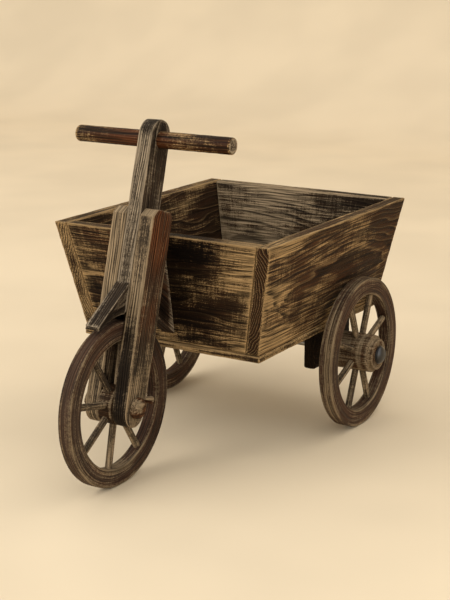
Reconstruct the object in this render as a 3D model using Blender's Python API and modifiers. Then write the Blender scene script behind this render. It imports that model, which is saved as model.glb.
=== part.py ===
"""A small rustic wooden cart: a flared open tub on three spoked wheels.

The cart faces -Y and +Z is up. The origin lies on the ground under the
middle of the whole cart. Sizes are in metres and angles in radians.
"""
import math

import bmesh
import bpy
from mathutils import Matrix, Vector

# Stock and fits
BOARD = 0.019                 # thickness of the tub's sawn boards
FORK_BOARD = 0.021            # thickness of the fork's boards
FIT_GAP = 0.0003              # gap between pieces that touch
RUNNING_GAP = 0.0006          # end play of a wheel on its axle

# Tub
FLOOR_WIDTH = 0.284
FLOOR_LENGTH = 0.3677
FLOOR_THICKNESS = 0.009
FLOOR_LIP = 0.0025            # how far the floor stands out past the walls
FLOOR_EASING = 0.002          # rounding of the floor's edges
WALL_HEIGHT = 0.154
SIDE_FLARE = math.radians(11.7)
FRONT_FLARE = math.radians(10.1)
BACK_FLARE = math.radians(8.4)

# Wheels
FRONT_WHEEL_RADIUS = 0.110
FRONT_RIM_THICKNESS = 0.018
FRONT_HUB_RADIUS = 0.0265
REAR_WHEEL_RADIUS = 0.110
REAR_RIM_THICKNESS = 0.019
REAR_HUB_RADIUS = 0.0275
REAR_HUB_NOSE_RADIUS = 0.0225  # stepped-down outer end of the hub
REAR_HUB_NOSE_LENGTH = 0.007
REAR_HUB_OUTREACH = 0.0316    # rim's middle plane to the hub's outer end
HUB_CHAMFER = 0.0025
RIM_DEPTH = 0.0245            # radial width of a rim
SPOKES = 8
SPOKE_DIAMETER = 0.0095
SPOKE_TENON = 0.008           # depth of a spoke's sockets in hub and rim
FRONT_SPOKE_PHASE = math.radians(32.7)
REAR_SPOKE_PHASE = math.radians(22.5)

# Axles and what carries them
AXLE_DIAMETER = 0.010
AXLE_DROP = 0.0428            # floor's underside down to the rear axle
REAR_AXLE_SETBACK = 0.1175    # floor's back edge forward to the rear axle
WHEEL_SIDE_GAP = 0.006        # tub side to rear rim at the wheel's top
WHEEL_TUB_GAP = 0.0174        # back of the front wheel to the floor
AXLE_BLOCK_LENGTH = 0.114
AXLE_BLOCK_INSET = 0.018      # floor's side edge in to the block
AXLE_BLOCK_BELOW = 0.0205     # rear axle down to the block's bottom
AXLE_BLOCK_CORNER = 0.006
WASHER_RADIUS = 0.0135
WASHER_THICKNESS = 0.0016
PUSH_CAP_RADIUS = 0.0125
PUSH_CAP_HEIGHT = 0.0065
PUSH_CAP_GRIP = 0.0035        # depth of the axle's end inside its cap
AXLE_CAP_RADIUS = 0.0148
AXLE_CAP_HEIGHT = 0.0125
AXLE_CAP_GRIP = 0.005
AXLE_CAP_ROUNDING = 0.007
PEG_DIAMETER = 0.0036
PEG_PROUD = 0.013
PEG_SOCKET = 0.008
PEG_CAP_GAP = 0.0032          # peg's side to the axle cap beside it
PEG_EDGE = 0.005              # peg's axis in from the cheek's back edge

# Fork
FORK_DEPTH = 0.045            # front-to-back width of stem and cheeks
FORK_RIM_GAP = 0.0185         # fork's back face to the tub's rim
CHEEK_ABOVE_RIM = 0.040
CHEEK_CORNER = 0.011
CHEEK_FOOT_DROP = 0.004       # axle down to the centre of a cheek's round foot
STEM_WHEEL_GAP = 0.010
STEM_HEAD_RISE = 0.0035       # centre of the round head above the handle
HANDLE_ABOVE_CHEEKS = 0.0905
HANDLE_DIAMETER = 0.0225
HANDLE_LENGTH = 0.240
HANDLE_EASING = 0.002
FENDER_WHEEL_GAP = 0.010
FENDER_HEIGHT = 0.041         # of the mudguard's back, up the stem
FENDER_REACH = 0.051          # of the mudguard's tip, out from the stem
FENDER_TIP = 0.004            # thickness of the mudguard at its tip
BRACE_TOP_DROP = 0.012        # tub's rim down to the brace's top
BRACE_STEM_OFFSET = 0.010     # stem's lower end up to the brace
BRACE_FOOT_HEIGHT = 0.0125    # wall's lower edge up to the brace

# Fasteners
SCREW_DIAMETER = 0.004
SCREW_HEAD_DIAMETER = 0.008
SCREW_HEAD_HEIGHT = 0.003
SCREW_SET = 0.0005
SCREW_BITE = 0.022
SCREW_POINT = 0.004
BLOCK_SCREW_OFFSET = 0.035    # axle forward or back to a block's screw
BRACE_SCREW_DROPS = (0.036, 0.096)

# Facets of the round pieces
RIM_SIDES = 48
HUB_SIDES = 32
ROUND_SIDES = 24
SPOKE_SIDES = 12
FASTENER_SIDES = 8
CORNER_STEPS = 4
HALF_ROUND_STEPS = 12
DOME_STEPS = 4
WELD = 0.00001

# Heights and places that follow from the sizes
FLOOR_LOW = REAR_WHEEL_RADIUS + AXLE_DROP
FLOOR_TOP = FLOOR_LOW + FLOOR_THICKNESS
WALL_LOW = FLOOR_TOP + FIT_GAP
RIM_Z = WALL_LOW + WALL_HEIGHT
BACK_OVERHANG = WALL_HEIGHT * math.tan(BACK_FLARE) - FLOOR_LIP
LENGTH = 2 * FRONT_WHEEL_RADIUS + WHEEL_TUB_GAP + FLOOR_LENGTH + BACK_OVERHANG
FRONT_AXLE = Vector((0, FRONT_WHEEL_RADIUS - LENGTH / 2, FRONT_WHEEL_RADIUS))
FLOOR_FRONT = FRONT_AXLE.y + FRONT_WHEEL_RADIUS + WHEEL_TUB_GAP
FLOOR_BACK = FLOOR_FRONT + FLOOR_LENGTH
REAR_AXLE = Vector((0, FLOOR_BACK - REAR_AXLE_SETBACK, REAR_WHEEL_RADIUS))
SIDE_CUT = BOARD / math.cos(SIDE_FLARE)    # board thickness on the level
FRONT_CUT = BOARD / math.cos(FRONT_FLARE)
BACK_CUT = BOARD / math.cos(BACK_FLARE)
AXLE_RADIUS = AXLE_DIAMETER / 2
CHEEK_INNER = FORK_BOARD / 2 + FIT_GAP
CHEEK_OUTER = CHEEK_INNER + FORK_BOARD
STEM_FOOT = FRONT_WHEEL_RADIUS + STEM_WHEEL_GAP

# An outline drawn in (depth, height) turned to stand upright across X
UPRIGHT = (math.pi / 2, 0, math.pi / 2)


def side_x(z):
    """Outer face of the right side panel at height z."""
    return FLOOR_WIDTH / 2 - FLOOR_LIP + (z - WALL_LOW) * math.tan(SIDE_FLARE)


def front_y(z):
    """Outer face of the front panel at height z."""
    return FLOOR_FRONT + FLOOR_LIP - (z - WALL_LOW) * math.tan(FRONT_FLARE)


def back_y(z):
    """Outer face of the back panel at height z."""
    return FLOOR_BACK - FLOOR_LIP + (z - WALL_LOW) * math.tan(BACK_FLARE)


def fork_rake():
    """Lean of the fork that clears the tub's rim by its gap."""
    across = front_y(RIM_Z) - FORK_RIM_GAP - FRONT_AXLE.y
    up = RIM_Z - FRONT_AXLE.z
    return math.atan2(across, up) - math.asin(FORK_DEPTH / 2 / math.hypot(across, up))


RAKE = fork_rake()
CHEEK_TOP = (RIM_Z + CHEEK_ABOVE_RIM - FRONT_AXLE.z) / math.cos(RAKE)
HANDLE_UP = CHEEK_TOP + HANDLE_ABOVE_CHEEKS
REAR_RIM_INNER = side_x(min(2 * REAR_WHEEL_RADIUS, RIM_Z)) + WHEEL_SIDE_GAP
REAR_RIM_MIDDLE = REAR_RIM_INNER + REAR_RIM_THICKNESS / 2
BLOCK_OUTER = FLOOR_WIDTH / 2 - AXLE_BLOCK_INSET
BLOCK_MIDDLE = BLOCK_OUTER - BOARD / 2
REAR_HUB_INNER = BLOCK_OUTER + FIT_GAP + WASHER_THICKNESS + RUNNING_GAP
REAR_HUB_OUTER = REAR_RIM_MIDDLE + REAR_HUB_OUTREACH
OUTER_WASHER = REAR_HUB_OUTER + RUNNING_GAP
PUSH_CAP_BASE = OUTER_WASHER + WASHER_THICKNESS + FIT_GAP


def to_fork(y, z):
    """A point beside the cart as (depth, height) along the fork."""
    back = y - FRONT_AXLE.y
    up = z - FRONT_AXLE.z
    depth = back * math.cos(RAKE) - up * math.sin(RAKE)
    height = back * math.sin(RAKE) + up * math.cos(RAKE)
    return depth, height


def fork_height_at(depth, z):
    """Height along the fork where a line at this depth reaches z."""
    return (z - FRONT_AXLE.z + depth * math.sin(RAKE)) / math.cos(RAKE)


def arc(centre, radius, start, end, steps):
    """Points along an arc, with angles in degrees."""
    points = []
    for step in range(steps + 1):
        angle = math.radians(start + (end - start) * step / steps)
        points.append((centre[0] + radius * math.cos(angle), centre[1] + radius * math.sin(angle)))
    return points


def circle(centre, radius, sides):
    """Corner points whose flats lie on the circle of this radius."""
    return arc(centre, radius / math.cos(math.pi / sides), 0, 360 - 360 / sides, sides - 1)


# Scene, collections and materials


def clear_scene():
    for old in list(bpy.data.objects):
        bpy.data.objects.remove(old, do_unlink=True)


def new_collection(name):
    collection = bpy.data.collections.new(name)
    bpy.context.scene.collection.children.link(collection)
    return collection


def new_material(name, colour, roughness, metallic=0.0):
    material = bpy.data.materials.new(name)
    material.use_nodes = True
    shader = material.node_tree.nodes["Principled BSDF"]
    shader.inputs["Base Color"].default_value = (*colour, 1.0)
    shader.inputs["Roughness"].default_value = roughness
    shader.inputs["Metallic"].default_value = metallic
    return material


clear_scene()
PARTS = new_collection("wooden_cart")
CUTTERS = new_collection("cutters")

TUB_WOOD = new_material("tub_wood", (0.130, 0.078, 0.036), 0.62)
FORK_WOOD = new_material("fork_wood", (0.120, 0.080, 0.045), 0.60)
CHEEK_WOOD = new_material("cheek_wood", (0.110, 0.058, 0.030), 0.58)
HANDLE_WOOD = new_material("handle_wood", (0.060, 0.028, 0.016), 0.42)
RIM_WOOD = new_material("rim_wood", (0.105, 0.070, 0.042), 0.60)
HUB_WOOD = new_material("hub_wood", (0.125, 0.078, 0.040), 0.55)
SPOKE_WOOD = new_material("spoke_wood", (0.165, 0.120, 0.070), 0.58)
BLOCK_WOOD = new_material("block_wood", (0.030, 0.016, 0.010), 0.65)
DARK_STEEL = new_material("dark_steel", (0.075, 0.080, 0.085), 0.38, 1.0)
ROD_STEEL = new_material("rod_steel", (0.350, 0.340, 0.320), 0.35, 1.0)
SCREW_STEEL = new_material("screw_steel", (0.220, 0.210, 0.200), 0.45, 1.0)


# Shapes


def new_empty(name, location, rotation=(0, 0, 0)):
    empty = bpy.data.objects.new(name, None)
    empty.location = location
    empty.rotation_euler = rotation
    empty.empty_display_size = BOARD
    PARTS.objects.link(empty)
    return empty


def add_part(name, mesh, material, parent=None, location=(0, 0, 0), rotation=(0, 0, 0)):
    if not mesh.materials:
        mesh.name = name
        mesh.materials.append(material)
    part = bpy.data.objects.new(name, mesh)
    part.parent = parent
    part.location = location
    part.rotation_euler = rotation
    PARTS.objects.link(part)
    return part


def add_cutter(name, mesh, parent=None):
    cutter = bpy.data.objects.new(name, mesh)
    cutter.parent = parent
    cutter.hide_render = True
    cutter.display_type = "WIRE"
    CUTTERS.objects.link(cutter)
    return cutter


def cut(part, cutter):
    boolean = part.modifiers.new(cutter.name, "BOOLEAN")
    boolean.operation = "DIFFERENCE"
    boolean.solver = "EXACT"
    boolean.object = cutter


def mesh_from(bm, name):
    mesh = bpy.data.meshes.new(name)
    bm.to_mesh(mesh)
    bm.free()
    return mesh


def baked(drawn):
    """The evaluated mesh of a helper object, welded; the helper goes."""
    bpy.context.view_layer.update()
    depsgraph = bpy.context.evaluated_depsgraph_get()
    mesh = bpy.data.meshes.new_from_object(drawn.evaluated_get(depsgraph))
    bpy.data.objects.remove(drawn, do_unlink=True)
    bm = bmesh.new()
    bm.from_mesh(mesh)
    bmesh.ops.remove_doubles(bm, verts=bm.verts, dist=WELD)
    bmesh.ops.recalc_face_normals(bm, faces=bm.faces)
    bm.to_mesh(mesh)
    bm.free()
    return mesh


def tapered_board(section, low, high):
    """A board whose level section (x0, x1, y0, y1) changes with height."""
    bm = bmesh.new()
    bmesh.ops.create_cube(bm, size=1)
    for corner in bm.verts:
        z = high if corner.co.z > 0 else low
        x0, x1, y0, y1 = section(z)
        x = x1 if corner.co.x > 0 else x0
        y = y1 if corner.co.y > 0 else y0
        corner.co = (x, y, z)
    return mesh_from(bm, "board")


def flat_piece(outline, thickness, holes=()):
    """An outline with holes, drawn flat and given a thickness."""
    curve = bpy.data.curves.new("outline", "CURVE")
    curve.dimensions = "2D"
    curve.fill_mode = "BOTH"
    curve.extrude = thickness / 2
    for loop in (outline, *holes):
        spline = curve.splines.new("POLY")
        spline.points.add(len(loop) - 1)
        for point, place in zip(spline.points, loop):
            point.co = (*place, 0, 1)
        spline.use_cyclic_u = True
    drawn = bpy.data.objects.new("outline", curve)
    PARTS.objects.link(drawn)
    mesh = baked(drawn)
    bpy.data.curves.remove(curve)
    return mesh


def turned(profile, sides, ring=False):
    """A profile of (radius, height), outer side downwards, turned about Z.

    Its first corner lies half a facet round, so flats face X and Y.
    """
    half_facet = math.pi / sides
    points = []
    for radius, height in profile:
        points.append((radius * math.cos(half_facet), radius * math.sin(half_facet), height))
    edges = [(index, index + 1) for index in range(len(points) - 1)]
    if ring:
        edges.append((len(points) - 1, 0))
    mesh = bpy.data.meshes.new("profile")
    mesh.from_pydata(points, edges, [])
    drawn = bpy.data.objects.new("profile", mesh)
    PARTS.objects.link(drawn)
    screw = drawn.modifiers.new("Turn", "SCREW")
    screw.axis = "Z"
    screw.angle = 2 * math.pi
    screw.steps = sides
    screw.render_steps = sides
    screw.use_merge_vertices = True
    screw.merge_threshold = WELD
    screw.use_smooth_shade = True
    solid = baked(drawn)
    bpy.data.meshes.remove(mesh)
    return solid


def bars(ends, diameter, sides):
    """Separate round bars, each between a start and an end point."""
    bm = bmesh.new()
    for start, end in ends:
        along = Vector(end) - Vector(start)
        middle = (Vector(end) + Vector(start)) / 2
        place = Matrix.Translation(middle) @ along.to_track_quat("Z", "Y").to_matrix().to_4x4()
        bmesh.ops.create_cone(bm, cap_ends=True, segments=sides, radius1=diameter / 2,
                              radius2=diameter / 2, depth=along.length, matrix=place)
    mesh = mesh_from(bm, "bars")
    mesh.shade_smooth()
    mesh.set_sharp_from_angle(angle=math.radians(50))
    return mesh


def copies(mesh, places):
    """Copies of a cutter's mesh at each place, as one mesh."""
    bm = bmesh.new()
    for place in places:
        moved = mesh.copy()
        moved.transform(place)
        bm.from_mesh(moved)
        bpy.data.meshes.remove(moved)
    bpy.data.meshes.remove(mesh)
    return mesh_from(bm, "holes")


def add_copies(name, mesh, places, material, parent):
    """A numbered part at each place, all sharing one mesh."""
    for number, place in enumerate(places, start=1):
        part = add_part(f"{name}_{number}", mesh, material, parent)
        part.matrix_basis = place


def outward(side):
    """Rotation that lays a turned piece's Z along X, to this side."""
    return (0, side * math.pi / 2, 0)


def across_at(side, x, centre):
    """Place of a turned piece on an axle, x out from the middle."""
    place = Vector((side * x, centre.y, centre.z))
    return Matrix.Translation(place) @ Matrix.Rotation(side * math.pi / 2, 4, "Y")


# Tub


def panel_section(side):
    """Level section of a side panel as a function of height."""
    def section(z):
        outer = side_x(z)
        inner = outer - SIDE_CUT
        x0, x1 = (inner, outer) if side > 0 else (-outer, -inner)
        return x0, x1, front_y(z), back_y(z)
    return section


def end_half_width(z):
    """Half the width of the front and back panels, between the sides."""
    return side_x(z) - SIDE_CUT - FIT_GAP


def front_section(z):
    half = end_half_width(z)
    return -half, half, front_y(z), front_y(z) + FRONT_CUT


def back_section(z):
    half = end_half_width(z)
    return -half, half, back_y(z) - BACK_CUT, back_y(z)


def floor_section(z):
    return -FLOOR_WIDTH / 2, FLOOR_WIDTH / 2, FLOOR_FRONT, FLOOR_BACK


def ease_edges(part, width):
    bevel = part.modifiers.new("Eased edges", "BEVEL")
    bevel.width = width
    bevel.segments = 2
    bevel.limit_method = "ANGLE"


def make_tub():
    root = new_empty("cart", (0, 0, 0))
    walls = {
        "left_side_panel": panel_section(-1),
        "right_side_panel": panel_section(1),
        "front_panel": front_section,
        "back_panel": back_section,
    }
    boards = {}
    for name, section in walls.items():
        board = add_part(name, tapered_board(section, WALL_LOW, RIM_Z), TUB_WOOD, root)
        boards[name] = board
    floor = add_part("floor_board", tapered_board(floor_section, FLOOR_LOW, FLOOR_TOP), TUB_WOOD, root)
    ease_edges(floor, FLOOR_EASING)
    boards["floor_board"] = floor
    return root, boards


def screw_solid(grip):
    """A countersunk screw, head up at height 0, through a board of this grip."""
    tip = -grip - SCREW_BITE
    return turned([(0, -SCREW_SET),
                   (SCREW_HEAD_DIAMETER / 2, -SCREW_SET),
                   (SCREW_DIAMETER / 2, -SCREW_SET - SCREW_HEAD_HEIGHT),
                   (SCREW_DIAMETER / 2, tip + SCREW_POINT),
                   (0, tip)], FASTENER_SIDES)


def screw_hole(grip):
    """The space for that screw, open at its head."""
    tip = -grip - SCREW_BITE - FIT_GAP
    return turned([(0, SCREW_SET),
                   (SCREW_HEAD_DIAMETER / 2 + FIT_GAP, SCREW_SET),
                   (SCREW_HEAD_DIAMETER / 2 + FIT_GAP, -SCREW_SET),
                   (SCREW_DIAMETER / 2 + FIT_GAP, -SCREW_SET - SCREW_HEAD_HEIGHT),
                   (SCREW_DIAMETER / 2 + FIT_GAP, tip),
                   (0, tip)], FASTENER_SIDES)


# Fork


def cheek_outline():
    half = FORK_DEPTH / 2
    inset = half - CHEEK_CORNER
    shoulder = CHEEK_TOP - CHEEK_CORNER
    outline = arc((0, -CHEEK_FOOT_DROP), half, 180, 360, HALF_ROUND_STEPS)
    outline += arc((inset, shoulder), CHEEK_CORNER, 0, 90, CORNER_STEPS)
    outline += arc((-inset, shoulder), CHEEK_CORNER, 90, 180, CORNER_STEPS)
    return outline


def stem_outline():
    half = FORK_DEPTH / 2
    head = HANDLE_UP + STEM_HEAD_RISE
    return [(-half, STEM_FOOT), (half, STEM_FOOT)] + arc((0, head), half, 0, 180, HALF_ROUND_STEPS)


def fender_outline():
    """A wedge whose underside follows the wheel."""
    back = -FORK_DEPTH / 2 - FIT_GAP
    under = FRONT_WHEEL_RADIUS + FENDER_WHEEL_GAP
    tip = back - FENDER_REACH
    foot_angle = math.degrees(math.acos(back / under))
    tip_angle = math.degrees(math.acos(tip / under))
    outline = arc((0, 0), under, foot_angle, tip_angle, HALF_ROUND_STEPS)
    outer = under + FENDER_TIP
    outline.append((outer * math.cos(math.radians(tip_angle)), outer * math.sin(math.radians(tip_angle))))
    foot = outline[0][1]
    outline.append((back, foot + FENDER_HEIGHT))
    return outline


def brace_outline():
    """A board that fills the angle between the stem and the tub."""
    front = FORK_DEPTH / 2 + FIT_GAP
    top = RIM_Z - BRACE_TOP_DROP
    foot = WALL_LOW + BRACE_FOOT_HEIGHT
    return [(front, STEM_FOOT + BRACE_STEM_OFFSET),
            to_fork(front_y(foot) - FIT_GAP, foot),
            to_fork(front_y(top) - FIT_GAP, top),
            (front, fork_height_at(front, top))]


def peg_place():
    """Depth and height of the peg, just clear of the axle cap."""
    depth = FORK_DEPTH / 2 - PEG_EDGE
    clear = AXLE_CAP_RADIUS + PEG_CAP_GAP + PEG_DIAMETER / 2
    return depth, math.sqrt(max(clear ** 2 - depth ** 2, 0))


def axle_cap_solid(radius, height, grip, rounding):
    """A round cap with a domed face and a blind hole for the axle's end."""
    dome = [(radius - rounding * (1 - math.sin(math.pi / 2 * step / DOME_STEPS)),
             height - rounding + rounding * math.cos(math.pi / 2 * step / DOME_STEPS))
            for step in range(DOME_STEPS + 1)]
    bore = (AXLE_RADIUS + FIT_GAP) / math.cos(math.pi / ROUND_SIDES)
    profile = [(0, height)] + dome + [(radius, 0), (bore, 0), (bore, grip), (0, grip)]
    return turned(profile, ROUND_SIDES)


def make_fork():
    fork = new_empty("fork", FRONT_AXLE, (-RAKE, 0, 0))
    axle_hole = circle((0, 0), AXLE_RADIUS + FIT_GAP, ROUND_SIDES)
    cheeks = {}
    for name, side in (("left", -1), ("right", 1)):
        mesh = flat_piece(cheek_outline(), FORK_BOARD, [axle_hole])
        place = (side * (CHEEK_INNER + FORK_BOARD / 2), 0, 0)
        cheek = add_part(name + "_fork_cheek", mesh, CHEEK_WOOD, fork, place, UPRIGHT)
        cheeks[name] = cheek
        cap = axle_cap_solid(AXLE_CAP_RADIUS, AXLE_CAP_HEIGHT, AXLE_CAP_GRIP, AXLE_CAP_ROUNDING)
        base = (side * (CHEEK_OUTER + FIT_GAP), 0, 0)
        add_part(name + "_front_axle_cap", cap, HUB_WOOD, fork, base, outward(side))
    handle_hole = circle((0, HANDLE_UP), HANDLE_DIAMETER / 2 + FIT_GAP, ROUND_SIDES)
    add_part("stem", flat_piece(stem_outline(), FORK_BOARD, [handle_hole]), FORK_WOOD, fork, rotation=UPRIGHT)
    add_part("fender_block", flat_piece(fender_outline(), FORK_BOARD), FORK_WOOD, fork, rotation=UPRIGHT)
    brace = add_part("brace_board", flat_piece(brace_outline(), FORK_BOARD), FORK_WOOD, fork, rotation=UPRIGHT)
    make_handle(fork)
    make_peg(fork, cheeks["right"])
    axle_end = CHEEK_OUTER + AXLE_CAP_GRIP
    axle = bars([((-axle_end, 0, 0), (axle_end, 0, 0))], AXLE_DIAMETER, ROUND_SIDES)
    add_part("front_axle", axle, ROD_STEEL, fork)
    return brace


def make_handle(fork):
    radius = HANDLE_DIAMETER / 2
    half = HANDLE_LENGTH / 2
    profile = [(0, half), (radius - HANDLE_EASING, half), (radius, half - HANDLE_EASING),
               (radius, HANDLE_EASING - half), (radius - HANDLE_EASING, -half), (0, -half)]
    mesh = turned(profile, ROUND_SIDES)
    add_part("handlebar", mesh, HANDLE_WOOD, fork, (0, 0, HANDLE_UP), outward(1))


def make_peg(fork, cheek):
    depth, height = peg_place()
    root = CHEEK_OUTER - PEG_SOCKET
    peg = bars([((root, depth, height), (CHEEK_OUTER + PEG_PROUD, depth, height))],
               PEG_DIAMETER, FASTENER_SIDES)
    add_part("cheek_peg", peg, HUB_WOOD, fork)
    hole = bars([((root - FIT_GAP, depth, height), (CHEEK_OUTER + PEG_PROUD, depth, height))],
                PEG_DIAMETER + 2 * FIT_GAP, FASTENER_SIDES)
    cut(cheek, add_cutter("peg_hole", hole, fork))


def make_brace_screws(root, front_panel, brace):
    """Screws from inside the tub, through the front panel into the brace."""
    places = []
    for drop in BRACE_SCREW_DROPS:
        z = RIM_Z - drop
        inside = Vector((0, front_y(z) + FRONT_CUT, z))
        places.append(Matrix.Translation(inside) @ Matrix.Rotation(-math.pi / 2, 4, "X"))
    grip = FRONT_CUT + FIT_GAP
    holes = add_cutter("brace_screw_holes", copies(screw_hole(grip), places))
    cut(front_panel, holes)
    cut(brace, holes)
    add_copies("brace_screw", screw_solid(grip), places, SCREW_STEEL, root)


# Running gear


def block_outline():
    """A block under the floor, seen from the side, about the axle."""
    half = AXLE_BLOCK_LENGTH / 2
    inset = half - AXLE_BLOCK_CORNER
    low = -AXLE_BLOCK_BELOW + AXLE_BLOCK_CORNER
    top = AXLE_DROP - FIT_GAP
    outline = [(half, top), (-half, top)]
    outline += arc((-inset, low), AXLE_BLOCK_CORNER, 180, 270, CORNER_STEPS)
    outline += arc((inset, low), AXLE_BLOCK_CORNER, 270, 360, CORNER_STEPS)
    return outline


def make_running_gear(root, floor):
    places = []
    for side in (-1, 1):
        for offset in (-BLOCK_SCREW_OFFSET, BLOCK_SCREW_OFFSET):
            places.append(Matrix.Translation((side * BLOCK_MIDDLE, REAR_AXLE.y + offset, FLOOR_TOP)))
    grip = FLOOR_THICKNESS + FIT_GAP
    holes = add_cutter("block_screw_holes", copies(screw_hole(grip), places))
    cut(floor, holes)
    add_copies("axle_block_screw", screw_solid(grip), places, SCREW_STEEL, root)
    axle_hole = circle((0, 0), AXLE_RADIUS + FIT_GAP, ROUND_SIDES)
    for name, side in (("left", -1), ("right", 1)):
        place = (side * BLOCK_MIDDLE, REAR_AXLE.y, REAR_AXLE.z)
        mesh = flat_piece(block_outline(), BOARD, [axle_hole])
        block = add_part(name + "_axle_block", mesh, BLOCK_WOOD, root, place, UPRIGHT)
        cut(block, holes)
    axle_end = Vector((PUSH_CAP_BASE + PUSH_CAP_GRIP - FIT_GAP, 0, 0))
    axle = bars([(REAR_AXLE - axle_end, REAR_AXLE + axle_end)], AXLE_DIAMETER, ROUND_SIDES)
    add_part("rear_axle", axle, ROD_STEEL, root)
    make_axle_hardware(root)


def make_axle_hardware(root):
    """Washers either side of the rear hubs, and domed push-on caps."""
    bore = (AXLE_RADIUS + FIT_GAP) / math.cos(math.pi / ROUND_SIDES)
    washer = turned([(WASHER_RADIUS, WASHER_THICKNESS), (WASHER_RADIUS, 0),
                     (bore, 0), (bore, WASHER_THICKNESS)], ROUND_SIDES, ring=True)
    places = []
    for side in (-1, 1):
        for x in (BLOCK_OUTER + FIT_GAP, OUTER_WASHER):
            places.append(across_at(side, x, REAR_AXLE))
    add_copies("rear_axle_washer", washer, places, DARK_STEEL, root)
    cap = axle_cap_solid(PUSH_CAP_RADIUS, PUSH_CAP_HEIGHT, PUSH_CAP_GRIP, PUSH_CAP_HEIGHT)
    places = [across_at(side, PUSH_CAP_BASE, REAR_AXLE) for side in (-1, 1)]
    add_copies("rear_axle_cap", cap, places, DARK_STEEL, root)


# Wheels


def spoke_span(hub_radius, wheel_radius):
    """Inner and outer ends of the sockets, measured from the axle.

    The hub's sockets stop where neighbouring ones would meet.
    """
    meeting = (SPOKE_DIAMETER / 2 + 2 * FIT_GAP) / math.sin(math.pi / SPOKES)
    return max(hub_radius - SPOKE_TENON, meeting), wheel_radius - RIM_DEPTH + SPOKE_TENON


def spoke_directions(phase):
    for number in range(SPOKES):
        angle = phase + 2 * math.pi * number / SPOKES
        yield Vector((0, math.cos(angle), math.sin(angle)))


def make_wheel(name, centre, side, radius, thickness, hub_radius, hub_profile, phase):
    """A rim, a hub and spokes about an empty on the wheel's axis."""
    wheel = new_empty(name, centre)
    inner, outer = spoke_span(hub_radius, radius)
    sockets = bars([(way * inner, way * outer) for way in spoke_directions(phase)],
                   SPOKE_DIAMETER + 2 * FIT_GAP, SPOKE_SIDES)
    socket_cutter = add_cutter(name + "_spoke_sockets", sockets, wheel)
    tread = radius / math.cos(math.pi / RIM_SIDES)
    inside = radius - RIM_DEPTH
    half = thickness / 2
    rim = add_part(name + "_rim", turned([(tread, half), (tread, -half), (inside, -half), (inside, half)],
                                         RIM_SIDES, ring=True), RIM_WOOD, wheel, rotation=outward(side))
    hub = add_part(name + "_hub", turned(hub_profile, HUB_SIDES, ring=True), HUB_WOOD, wheel,
                   rotation=outward(side))
    cut(rim, socket_cutter)
    cut(hub, socket_cutter)
    for number, way in enumerate(spoke_directions(phase), start=1):
        spoke = bars([(way * (inner + FIT_GAP), way * (outer - FIT_GAP))], SPOKE_DIAMETER, SPOKE_SIDES)
        add_part(f"{name}_spoke_{number}", spoke, SPOKE_WOOD, wheel)


def hub_bore():
    return (AXLE_RADIUS + FIT_GAP) / math.cos(math.pi / HUB_SIDES)


def front_hub_profile():
    """A plain disc with eased edges, as long as the fork's slot allows."""
    half = CHEEK_INNER - RUNNING_GAP
    eased = FRONT_HUB_RADIUS - HUB_CHAMFER
    return [(eased, half), (FRONT_HUB_RADIUS, half - HUB_CHAMFER),
            (FRONT_HUB_RADIUS, HUB_CHAMFER - half), (eased, -half),
            (hub_bore(), -half), (hub_bore(), half)]


def rear_hub_profile():
    """A barrel with a stepped-down nose at its outer end."""
    outer = REAR_HUB_OUTER - REAR_RIM_MIDDLE
    inner = REAR_HUB_INNER - REAR_RIM_MIDDLE
    step = outer - REAR_HUB_NOSE_LENGTH
    eased = REAR_HUB_RADIUS - HUB_CHAMFER
    return [(REAR_HUB_NOSE_RADIUS, outer), (REAR_HUB_NOSE_RADIUS, step),
            (eased, step), (REAR_HUB_RADIUS, step - HUB_CHAMFER),
            (REAR_HUB_RADIUS, inner + HUB_CHAMFER), (eased, inner),
            (hub_bore(), inner), (hub_bore(), outer)]


def make_wheels():
    make_wheel("front_wheel", FRONT_AXLE, 1, FRONT_WHEEL_RADIUS, FRONT_RIM_THICKNESS,
               FRONT_HUB_RADIUS, front_hub_profile(), FRONT_SPOKE_PHASE)
    for name, side in (("rear_left_wheel", -1), ("rear_right_wheel", 1)):
        centre = REAR_AXLE + Vector((side * REAR_RIM_MIDDLE, 0, 0))
        make_wheel(name, centre, side, REAR_WHEEL_RADIUS, REAR_RIM_THICKNESS,
                   REAR_HUB_RADIUS, rear_hub_profile(), REAR_SPOKE_PHASE)


def make_cart():
    root, boards = make_tub()
    brace = make_fork()
    make_brace_screws(root, boards["front_panel"], brace)
    make_running_gear(root, boards["floor_board"])
    make_wheels()


make_cart()
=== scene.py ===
"""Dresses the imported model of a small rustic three-wheeled cart and stands it on a pale studio sweep."""

import math
import random

import bmesh
import bpy
import numpy as np
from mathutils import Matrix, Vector, noise


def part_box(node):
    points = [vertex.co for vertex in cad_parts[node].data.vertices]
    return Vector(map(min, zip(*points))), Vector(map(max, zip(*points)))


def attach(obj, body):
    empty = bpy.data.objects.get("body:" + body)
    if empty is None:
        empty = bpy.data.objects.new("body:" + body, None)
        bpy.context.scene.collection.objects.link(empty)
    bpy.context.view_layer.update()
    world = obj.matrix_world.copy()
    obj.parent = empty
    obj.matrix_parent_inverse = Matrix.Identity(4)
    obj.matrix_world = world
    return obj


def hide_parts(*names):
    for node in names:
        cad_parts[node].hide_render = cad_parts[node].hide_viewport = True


bl_info = {
    "name": "Rustic Three-Wheeled Cart",
    "version": (1, 0, 0),
    "blender": (4, 5, 0),
    "location": "3D View > Sidebar > Cart",
    "description": "Builds the visible pieces of a stained wooden three-wheeled cart",
    "category": "Object",
}

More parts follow.
